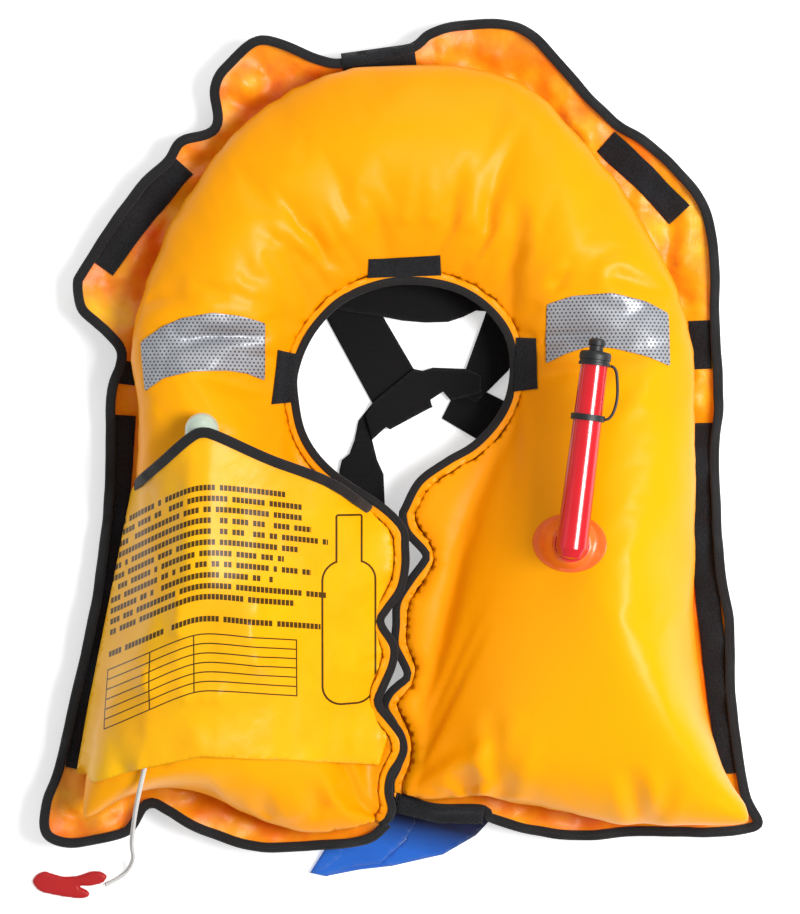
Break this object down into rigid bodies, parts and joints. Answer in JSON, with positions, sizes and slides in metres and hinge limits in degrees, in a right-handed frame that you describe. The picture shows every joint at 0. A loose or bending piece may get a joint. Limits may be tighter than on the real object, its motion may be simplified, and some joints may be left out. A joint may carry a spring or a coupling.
{
  "type": "inflatable life jacket",
  "caption": "Horseshoe inflatable life jacket lying inflated on its opened cover, with gas inflator, mouth tube, flap, harness and pull cord.",
  "frame": {"origin": "on the surface under the jacket, at the middle of its length and width", "axes": "+X to the right lobe as seen from the front, +Y to the neck end, +Z out of the front"},
  "size_m": [0.569, 0.695, 0.1496],
  "materials": {
    "bladder_film": "satin",
    "cover_cloth": "matte",
    "binding_tape": "matte",
    "hook_tape": "matte",
    "reflective_sheet": "satin",
    "weld_patch": "satin",
    "red_plastic": "gloss",
    "black_rubber": "satin",
    "black_plastic": "satin",
    "white_plastic": "satin",
    "spring_steel": "satin",
    "turned_brass": "satin",
    "green_plastic": "gloss",
    "painted_steel": "satin",
    "flap_film": "satin",
    "white_cord": "matte",
    "black_webbing": "matte",
    "blue_webbing": "satin"
  },
  "bodies": {
    "jacket": {"air_bladder": "bladder_film", "cover_shell": "cover_cloth", "outer_edge_binding": "binding_tape", "neck_edge_binding": "binding_tape", "flap_top_binding": "binding_tape", "velcro_upper_left": "hook_tape", "velcro_upper_right": "hook_tape", "velcro_long_left": "hook_tape", "velcro_long_right": "hook_tape", "velcro_tab_top": "hook_tape", "velcro_tab_left": "hook_tape", "velcro_tab_right": "hook_tape", "velcro_hem_right": "hook_tape", "neck_tab_top": "hook_tape", "neck_tab_left": "hook_tape", "neck_tab_right": "hook_tape", "reflective_tape_left": "reflective_sheet", "reflective_tape_right": "reflective_sheet", "oral_tube_patch": "weld_patch", "manifold_patch": "weld_patch", "oral_tube": "red_plastic", "cap_tether": "black_rubber", "tether_clip_ring": "black_rubber", "manifold_gasket": "black_rubber", "oral_valve_seat": "black_plastic", "inflator_body": "black_plastic", "buckle_socket": "black_plastic", "oral_valve_spring": "spring_steel", "pin_spring": "spring_steel", "lever_pivot_pin": "spring_steel", "manifold_stem": "turned_brass", "inflator_nut": "turned_brass", "status_clip": "green_plastic", "inflator_flap": "flap_film", "back_yoke": "black_webbing", "shoulder_strap_left": "black_webbing", "shoulder_strap_right": "black_webbing", "strap_keeper": "black_webbing", "back_strap": "black_webbing", "side_strap_right": "black_webbing", "waist_belt_left": "black_webbing", "belt_loop_left": "black_webbing", "belt_loop_right": "black_webbing", "belt_tail": "blue_webbing"},
    "dust_cap_body": {"dust_cap": "black_rubber"},
    "valve_body": {"oral_valve_poppet": "white_plastic"},
    "cylinder_body": {"co2_cylinder": "painted_steel"},
    "pin_body": {"piercing_pin": "spring_steel"},
    "lever_body": {"firing_lever": "spring_steel"},
    "pull_line": {"pull_cord": "white_cord", "cord_sleeve": "turned_brass", "pull_handle": "red_plastic"},
    "buckle_plug_body": {"buckle_plug": "black_plastic", "waist_belt_right": "blue_webbing"},
    "adjuster_body": {"belt_adjuster": "black_plastic"}
  },
  "joints": [
    {"name": "pull_cord_slide", "type": "slide", "parent": "jacket", "child": "pull_line", "axis": [0, -1, 0], "range_m": [0, 0.033]},
    {"name": "lever_turn", "type": "hinge", "parent": "jacket", "child": "lever_body", "pos_m": [-0.146, -0.174, 0.1143], "axis": [0, 0, 1], "range_deg": [0, 75]},
    {"name": "pin_slide", "type": "slide", "parent": "jacket", "child": "pin_body", "axis": [0, 1, 0], "range_m": [0, 0.006], "deforming": ["pin_spring"]},
    {"name": "cylinder_unscrew", "type": "hinge", "parent": "jacket", "child": "cylinder_body", "pos_m": [-0.146, -0.05, 0.1143], "axis": [0, 1, 0], "range_deg": [0, 360]},
    {"name": "dust_cap_pull", "type": "slide", "parent": "jacket", "child": "dust_cap_body", "axis": [0.1236, 0.9923, 0], "range_m": [0, 0.024], "deforming": ["cap_tether"]},
    {"name": "oral_valve_press", "type": "slide", "parent": "jacket", "child": "valve_body", "axis": [-0.1236, -0.9923, 0], "range_m": [0, 0.003], "stiffness_N_per_m": 300, "deforming": ["oral_valve_spring"]},
    {"name": "buckle_release", "type": "slide", "parent": "jacket", "child": "buckle_plug_body", "axis": [1, 0, 0], "range_m": [0, 0.045]},
    {"name": "adjuster_slide", "type": "slide", "parent": "jacket", "child": "adjuster_body", "axis": [1, 0, 0], "range_m": [-0.02, 0.02]}
  ],
  "couplings": [
    {"joint": "lever_turn", "follows": "pull_cord_slide", "rad_per_m": 39.6},
    {"joint": "pin_slide", "follows": "pull_cord_slide", "ratio": 0.18}
  ]
}
